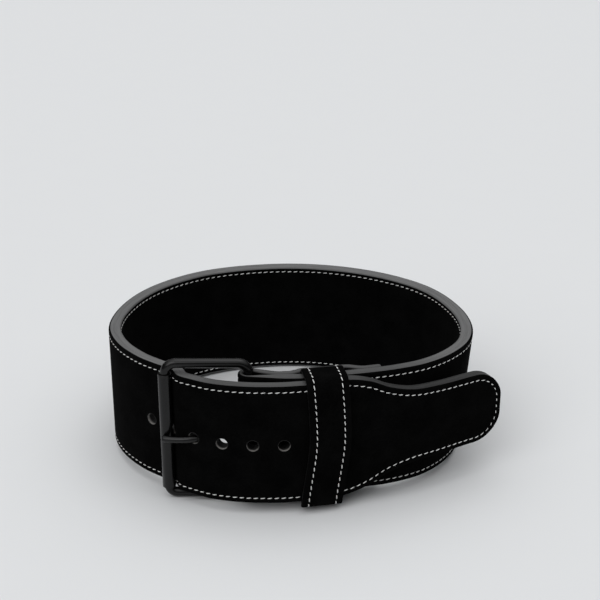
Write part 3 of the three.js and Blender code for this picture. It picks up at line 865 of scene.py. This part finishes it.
def keeper_row(across, sizes):
    """Places of the stitches of a row round the keeper, which face away from its middle."""
    walls = keeper_walls()[0]
    _, _, along, back = keeper_frame()
    middle = keeper_point(back / 2, STRAP_WIDTH / 2, 0)
    points = [keeper_point(depth, height, across) for depth, height in walls + walls[:1]]
    places = []
    for spot, forward in spaced(points, sizes.stitch_pitch):
        place = Vector(spot)
        out = forward.cross(along).normalized()
        if out.dot(place - middle) < 0:
            out = -out
        places.append(slanted(place - out * STITCH_SUNK, forward, out, sizes))
    return places


class BELT_OT_stitches(bpy.types.Operator):
    """Sews the strap, its tip, its flap and the keeper"""

    bl_idname = "belt.stitches"
    bl_label = "Stitches"

    def execute(self, context):
        sizes = context.scene.belt_sizes
        inset = sizes.stitch_inset
        thread = sewing_thread(context.scene.belt_colours)
        stitch = thread_stitch(sizes)
        tip = WHOLE.length - TIP_CORNER
        bar = LOOP_START + 4 * MM
        flap_end = LOOP_START + distance_at(LOOP, FLAP_END_X, False) + 4 * MM
        fold = LOOP_START - 50 * MM

        def round_tip(start):
            upper = edge_row(start, tip, 1, inset)
            return upper + tip_row(inset) + edge_row(start, tip, -1, inset)[::-1]

        flap = edge_row(inset, fold, 1, inset)[::-1] + edge_row(inset, fold, -1, inset)
        rows = {
            "stitches_outside": strap_row(round_tip(bar), False, sizes),
            "stitches_inside": strap_row(round_tip(flap_end), True, sizes),
            "stitches_flap": strap_row(flap, False, sizes),
            "stitches_keeper": keeper_row(-KEEPER_ROW, sizes) + keeper_row(KEEPER_ROW, sizes),
        }
        for name, places in rows.items():
            sew(name, places, stitch, thread)
        bpy.data.objects.remove(stitch, do_unlink=True)
        return {"FINISHED"}


# Buckle


def corner_points(x, z, radius, start):
    """Points of one round corner of the wire frame, seen from the front."""
    middle_x = x + radius * (-1 if x == BAR_X else 1)
    middle_z = z - math.copysign(radius, z)
    angles = [math.radians(start + 90 * i / 9) for i in range(10)]
    return [(middle_x + radius * math.cos(a), middle_z + radius * math.sin(a)) for a in angles]


def wire_path():
    """The closed middle line of the wire frame."""
    half = FRAME_HEIGHT / 2
    left = BAR_X - FRAME_LENGTH
    outline = corner_points(BAR_X, half, BAR_CORNER, 0) + corner_points(left, half, ROLLER_TOP_CORNER, 90)
    outline += corner_points(left, -half, ROLLER_FOOT_CORNER, 180) + corner_points(BAR_X, -half, BAR_CORNER, 270)
    return [Vector((x, FRAME_BACK, STRAP_WIDTH / 2 + FRAME_RISE + z)) for x, z in outline]


class BELT_OT_buckle(bpy.types.Operator):
    """Builds the wire frame, its roller and the prong"""

    bl_idname = "belt.buckle"
    bl_label = "Buckle"

    def execute(self, context):
        steel = coated_steel(context.scene.belt_colours)
        path = wire_path()
        wire = tube(path, [WIRE_RADIUS] * len(path), 32, closed=True)
        lay(wire, "wire_frame", "belt", [steel], ["buckle_frame"])
        lay(roller_tube(), "roller_tube", "roller", [steel], ["buckle_roller"])
        lay(prong_bar(), "prong_bar", "belt", [steel], ["buckle_prong"], smooth=180)
        return {"FINISHED"}


def roller_tube():
    """The roller: a thin tube with rounded rims, open at both ends."""
    return open_tube(ROLLER_AT, (0, 0, 0), ROLLER_RADIUS, ROLLER_LENGTH, ROLLER_WALL, ROLLER_RIM, 64, 3)


def prong_bar():
    """The prong: a bent bar with a round tip, fused to its eye round the buckle's bar."""
    points = prong_points()
    tip = points[-1] + (points[-1] - points[-2]).normalized() * PRONG_RADIUS * PRONG_TIP_SHARE
    radii = [PRONG_RADIUS] * (len(points) - 2) + [PRONG_RADIUS * share for share in PRONG_TIP]
    arm = tube([*points, tip], radii, 24)
    eye_radius = WIRE_RADIUS + WIRE_CLEARANCE + PRONG_RADIUS
    deselect()
    bpy.ops.mesh.primitive_torus_add(
        location=(BAR_X, FRAME_BACK, PRONG_EYE_HEIGHT),
        major_radius=eye_radius,
        minor_radius=PRONG_RADIUS,
        major_segments=64,
        minor_segments=24,
    )
    piece = bpy.context.object
    arm.select_set(True)
    bpy.ops.object.join()
    apply_modifier(piece, "REMESH", mode="VOXEL", voxel_size=0.3 * MM)
    apply_modifier(piece, "SMOOTH", factor=0.5, iterations=4)
    return piece


# Rivets


def cap_rivet():
    """A rivet standing on Z = 0: a domed cap with a soft rim that reaches a little below."""
    deselect()
    bpy.ops.mesh.primitive_uv_sphere_add(segments=40, ring_count=20, radius=RIVET_RADIUS)
    piece = bpy.context.object
    for vertex in piece.data.vertices:
        share = vertex.co.z / RIVET_RADIUS
        vertex.co.z = RIVET_RISE * share**RIVET_DOME if share > 0 else RIVET_RIM * share
    return piece


class BELT_OT_rivets(bpy.types.Operator):
    """Sets the six rivets of the flap"""

    bl_idname = "belt.rivets"
    bl_label = "Rivets"

    def execute(self, context):
        steel = coated_steel(context.scene.belt_colours)
        first = cap_rivet()
        for number, name in enumerate(RIVETS, 1):
            low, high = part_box(name)
            middle = REST.inverted() @ ((low + high) / 2)
            distance = distance_at(LOOP, middle.x, False)
            x, y = LOOP.inward(distance)
            depth = flap_depth(LOOP, distance, KEEPER_X) - RIVET_SUNK
            cap = first.copy()
            cap.data = first.data.copy()
            bpy.context.scene.collection.objects.link(cap)
            cap.location = LOOP.point(distance, depth, middle.z - STRAP_WIDTH / 2)
            cap.rotation_mode = "QUATERNION"
            cap.rotation_quaternion = Vector((x, y, 0)).to_track_quat("Z", "Y")
            lay(cap, f"rivet_cap_{number}", "belt", [steel], [name])
        bpy.data.objects.remove(first, do_unlink=True)
        return {"FINISHED"}


# Finishes


def set_inputs(tree, node, inputs):
    """Sets a node's inputs to values, or links them to outputs."""
    for name, value in inputs.items():
        socket = node.inputs[name]
        if isinstance(value, bpy.types.NodeSocket):
            tree.links.new(value, socket)
        else:
            socket.default_value = value


def add_node(tree, kind, inputs=None, **settings):
    """Adds a shader node with its settings and inputs."""
    node = tree.nodes.new("ShaderNode" + kind)
    for name, value in settings.items():
        setattr(node, name, value)
    set_inputs(tree, node, inputs or {})
    return node


def new_material(name):
    """An empty node material with its shader, and the tree and shader to add to."""
    material = bpy.data.materials.get(name)
    if material:
        return material, None, None
    material = bpy.data.materials.new(name)
    material.use_nodes = True
    tree = material.node_tree
    return material, tree, tree.nodes["Principled BSDF"]


def suede(colours):
    """Suede, split cowhide dyed black and napped: matt, with a short nap that lies in brushed clouds."""
    material, tree, shader = new_material("black_napped_suede")
    if tree is None:
        return material
    place = add_node(tree, "TexCoord").outputs["Object"]
    # Clouds of nap brushed one way or the other, 18 mm across
    cloud = add_node(tree, "TexNoise", {"Vector": place, "Scale": 1 / (18 * MM), "Detail": 3.0, "Roughness": 0.6})
    # Tufts of nap; real ones are 0.4 mm, drawn 1.4 mm so that they show
    tuft = add_node(tree, "TexNoise", {"Vector": place, "Scale": 1 / (1.4 * MM), "Detail": 4.0, "Roughness": 0.7})
    mixed = add_node(tree, "Math", {0: cloud.outputs["Fac"], 1: tuft.outputs["Fac"]}, operation="ADD")
    share = add_node(tree, "MapRange", {"Value": mixed.outputs[0], "From Min": 0.82, "From Max": 1.3})
    colour = add_node(
        tree,
        "Mix",
        {0: share.outputs[0], 6: hex_colour(colours.suede), 7: hex_colour(colours.suede_light)},
        data_type="RGBA",
    )
    bump = add_node(tree, "Bump", {"Height": tuft.outputs["Fac"], "Strength": 0.5, "Distance": 0.35 * MM})
    nap = {"Roughness": 1.0, "Specular IOR Level": 0.01, "Sheen Weight": 0.006, "Sheen Roughness": 0.5}
    set_inputs(tree, shader, {**nap, "Base Color": colour.outputs[2], "Normal": bump.outputs[0]})
    return material


def painted_edge(name, colour_text, streak_share, painted_shade=1.0):
    """Edge paint over cut leather: satin, with faint streaks along the edge, and painted shade that darkens it to a
    share on the free end.
    """
    material, tree, shader = new_material(name)
    if tree is None:
        return material
    spot = add_node(tree, "UVMap", uv_map="surface").outputs[0]
    # Streaks 30 mm long and 0.8 mm wide, from the sanding before the paint
    long = add_node(tree, "Mapping", {"Vector": spot, "Scale": (1 / (30 * MM), 1 / (0.8 * MM), 1)})
    streak = add_node(tree, "TexNoise", {"Vector": long.outputs[0], "Scale": 1.0, "Detail": 4.0, "Roughness": 0.6})
    share = add_node(tree, "MapRange", {"Value": streak.outputs["Fac"], "From Min": 0.3, "From Max": 0.7})
    light = hex_colour(colour_text)
    streaked = add_node(
        tree, "Mix", {0: share.outputs[0], 6: shade(light, streak_share), 7: light}, data_type="RGBA"
    )
    # Painted shade: the paint is drawn darker on the free end from the roller on, and darker still past the keeper;
    # it is drawn darker on the inner end too
    place = add_node(tree, "SeparateXYZ", {"Vector": spot}).outputs[0]
    rise = add_node(tree, "MapRange", {"Value": place, "From Min": PALE_FROM[0], "From Max": PALE_FROM[1]})
    fall = add_node(tree, "MapRange", {"Value": place, "From Min": PALE_TO[1], "From Max": PALE_TO[0]})
    pale = add_node(tree, "Math", {0: rise.outputs[0], 1: fall.outputs[0]}, operation="MULTIPLY")
    past_keeper = add_node(tree, "MapRange", {"Value": place, "From Min": DARK_FROM[0], "From Max": DARK_FROM[1]})
    darkened_ends = add_node(
        tree, "Mix", {0: past_keeper.outputs[0], 6: shade(light, painted_shade), 7: shade(light, painted_shade / 2)}, data_type="RGBA"
    )
    colour = add_node(
        tree,
        "Mix",
        {0: pale.outputs[0], 6: darkened_ends.outputs[2], 7: streaked.outputs[2]},
        data_type="RGBA",
    )
    bump = add_node(tree, "Bump", {"Height": streak.outputs["Fac"], "Strength": 0.3, "Distance": 0.2 * MM})
    satin = {"Roughness": 0.55, "Specular IOR Level": 0.25}
    set_inputs(tree, shader, {**satin, "Base Color": colour.outputs[2], "Normal": bump.outputs[0]})
    return material


def edge_paint(colours):
    """Grey edge paint on the strap's edges, with painted shade on the free end."""
    return painted_edge("grey_edge_paint", colours.edge_paint, 0.62, 0.42)


def dyed_edge(colours):
    """Black edge dye on the keeper's edges."""
    return painted_edge("black_edge_dye", colours.suede, 0.5)


def raw_leather(colours):
    """Cut leather in a hole's wall: fibrous, greyish and matt in front, black farther in."""
    material, tree, shader = new_material("cut_leather")
    if tree is None:
        return material
    place = add_node(tree, "TexCoord").outputs["Object"]
    fibre = add_node(tree, "TexNoise", {"Vector": place, "Scale": 1 / (0.7 * MM), "Detail": 3.0})
    light = hex_colour(colours.raw_leather)
    fibrous = add_node(tree, "Mix", {0: fibre.outputs["Fac"], 6: shade(light, 0.25), 7: light}, data_type="RGBA")
    # A pale band just under the outer rim, black at the rim itself and farther in
    depth = add_node(tree, "Attribute", attribute_name="depth").outputs["Fac"]
    under_rim = add_node(tree, "MapRange", {"Value": depth, "From Min": 0.0, "From Max": 0.04})
    farther_in = add_node(tree, "MapRange", {"Value": depth, "From Min": 0.3, "From Max": 0.1})
    band = add_node(tree, "Math", {0: under_rim.outputs[0], 1: farther_in.outputs[0]}, operation="MULTIPLY")
    colour = add_node(
        tree,
        "Mix",
        {0: band.outputs[0], 6: hex_colour(colours.suede_light), 7: fibrous.outputs[2]},
        data_type="RGBA",
    )
    bump = add_node(tree, "Bump", {"Height": fibre.outputs["Fac"], "Strength": 0.4, "Distance": 0.2 * MM})
    set_inputs(tree, shader, {"Base Color": colour.outputs[2], "Roughness": 0.8, "Normal": bump.outputs[0]})
    return material


def sewing_thread(colours):
    """Bonded nylon thread, twisted: off-white with a soft shine."""
    material, tree, shader = new_material("bonded_nylon_thread")
    if tree is None:
        return material
    place = add_node(tree, "TexCoord").outputs["Object"]
    # Strands of the twist, 0.5 mm
    strand = add_node(tree, "TexNoise", {"Vector": place, "Scale": 1 / (0.5 * MM), "Detail": 2.0})
    light = hex_colour(colours.thread)
    colour = add_node(tree, "Mix", {0: strand.outputs["Fac"], 6: shade(light, 0.7), 7: light}, data_type="RGBA")
    bump = add_node(tree, "Bump", {"Height": strand.outputs["Fac"], "Strength": 0.3, "Distance": 0.1 * MM})
    set_inputs(tree, shader, {"Base Color": colour.outputs[2], "Roughness": 0.6, "Normal": bump.outputs[0]})
    return material


def coated_steel(colours):
    """Steel wire under black powder coat: semi-gloss, with a fine orange peel and duller patches of handling."""
    material, tree, shader = new_material("black_powder_coat")
    if tree is None:
        return material
    place = add_node(tree, "TexCoord").outputs["Object"]
    # Orange peel of the coat, 0.9 mm
    peel = add_node(tree, "TexNoise", {"Vector": place, "Scale": 1 / (0.9 * MM), "Detail": 2.0})
    # Patches dulled by handling, 12 mm
    patch = add_node(tree, "TexNoise", {"Vector": place, "Scale": 1 / (12 * MM), "Detail": 4.0})
    rough = add_node(tree, "MapRange", {"Value": patch.outputs["Fac"], "To Min": 0.18, "To Max": 0.3})
    light = hex_colour(colours.steel)
    colour = add_node(tree, "Mix", {0: patch.outputs["Fac"], 6: shade(light, 0.6), 7: light}, data_type="RGBA")
    bump = add_node(tree, "Bump", {"Height": peel.outputs["Fac"], "Strength": 0.15, "Distance": 0.1 * MM})
    coat = {"Roughness": rough.outputs[0], "Specular IOR Level": 0.32}
    set_inputs(tree, shader, {**coat, "Base Color": colour.outputs[2], "Normal": bump.outputs[0]})
    return material


def studio_floor(colours):
    """Matt studio paper: pale and nearly even."""
    material, tree, shader = new_material("studio_paper")
    if tree is None:
        return material
    place = add_node(tree, "TexCoord").outputs["Object"]
    grain = add_node(tree, "TexNoise", {"Vector": place, "Scale": 1 / (40 * MM), "Detail": 3.0})
    light = hex_colour(colours.floor)
    colour = add_node(tree, "Mix", {0: grain.outputs["Fac"], 6: shade(light, 0.99), 7: light}, data_type="RGBA")
    matt = {"Roughness": 0.9, "Specular IOR Level": 0.1}
    set_inputs(tree, shader, {**matt, "Base Color": colour.outputs[2]})
    return material


# Stage


def far_softbox(name, towards, width, power):
    """A softbox so far away that it lights everything alike: its direction, its apparent width and its power."""
    deselect()
    bpy.ops.object.light_add(type="SUN", rotation=Vector(towards).to_track_quat("Z", "Y").to_euler())
    light = bpy.context.object
    light.name = name
    light.data.angle = math.radians(width)
    light.data.energy = power


class BELT_OT_stage(bpy.types.Operator):
    """Sets up the floor, the soft lights and the camera"""

    bl_idname = "belt.stage"
    bl_label = "Studio"

    def execute(self, context):
        colours = context.scene.belt_colours
        deselect()
        bpy.ops.mesh.primitive_plane_add(size=16)
        floor = context.object
        floor.name = "studio_floor"
        floor.data.materials.append(studio_floor(colours))
        world = bpy.data.worlds.new("studio")
        context.scene.world = world
        world.use_nodes = True
        # A dome of light, dim near the floor and bright overhead
        tree = world.node_tree
        way = add_node(tree, "TexCoord").outputs["Generated"]
        height = add_node(tree, "SeparateXYZ", {"Vector": way}).outputs[2]
        dome = {"Value": height, "From Min": 0.4, "From Max": 0.9, "To Min": 0.1, "To Max": 1.75}
        glow = add_node(tree, "MapRange", dome).outputs[0]
        set_inputs(tree, tree.nodes["Background"], {"Color": hex_colour(colours.floor), "Strength": glow})
        far_softbox("key_softbox", (-0.7, -0.9, 0.9), 45, 0.8)
        far_softbox("top_softbox", (0.2, 0.3, 1.8), 40, 0.4)
        context.scene.view_settings.view_transform = "Standard"
        forward = Vector((0, math.cos(CAMERA_PITCH), -math.sin(CAMERA_PITCH)))
        turn = forward.to_track_quat("-Z", "Y").to_matrix().to_4x4()
        deselect()
        bpy.ops.object.camera_add()
        camera = context.object
        camera.matrix_world = REST @ Matrix.Translation(CAMERA_AT) @ turn
        camera.data.sensor_width = 36
        camera.data.lens = CAMERA_LENS
        context.scene.camera = camera
        return {"FINISHED"}


class BELT_PT_panel(bpy.types.Panel):
    """Lists the belt's pieces with their sizes and colours"""

    bl_idname = "BELT_PT_panel"
    bl_label = "Weightlifting belt"
    bl_space_type = "VIEW_3D"
    bl_region_type = "UI"
    bl_category = "Belt"

    def draw(self, context):
        for group in (context.scene.belt_sizes, context.scene.belt_colours):
            box = self.layout.box()
            for name in group.__annotations__:
                box.prop(group, name)
        for operator in OPERATORS:
            self.layout.operator(operator.bl_idname)


OPERATORS = (BELT_OT_strap, BELT_OT_keeper, BELT_OT_buckle, BELT_OT_rivets, BELT_OT_stitches, BELT_OT_stage)
CLASSES = (BeltSizes, BeltColours, *OPERATORS, BELT_PT_panel)


def register():
    for item in CLASSES:
        bpy.utils.register_class(item)
    bpy.types.Scene.belt_sizes = bpy.props.PointerProperty(type=BeltSizes)
    bpy.types.Scene.belt_colours = bpy.props.PointerProperty(type=BeltColours)


def unregister():
    del bpy.types.Scene.belt_colours
    del bpy.types.Scene.belt_sizes
    for item in reversed(CLASSES):
        bpy.utils.unregister_class(item)


def main():
    """Builds the belt and its studio."""
    register()
    bpy.ops.belt.strap()
    bpy.ops.belt.keeper()
    bpy.ops.belt.buckle()
    bpy.ops.belt.rivets()
    bpy.ops.belt.stitches()
    bpy.ops.belt.stage()


if __name__ == "__main__":
    main()
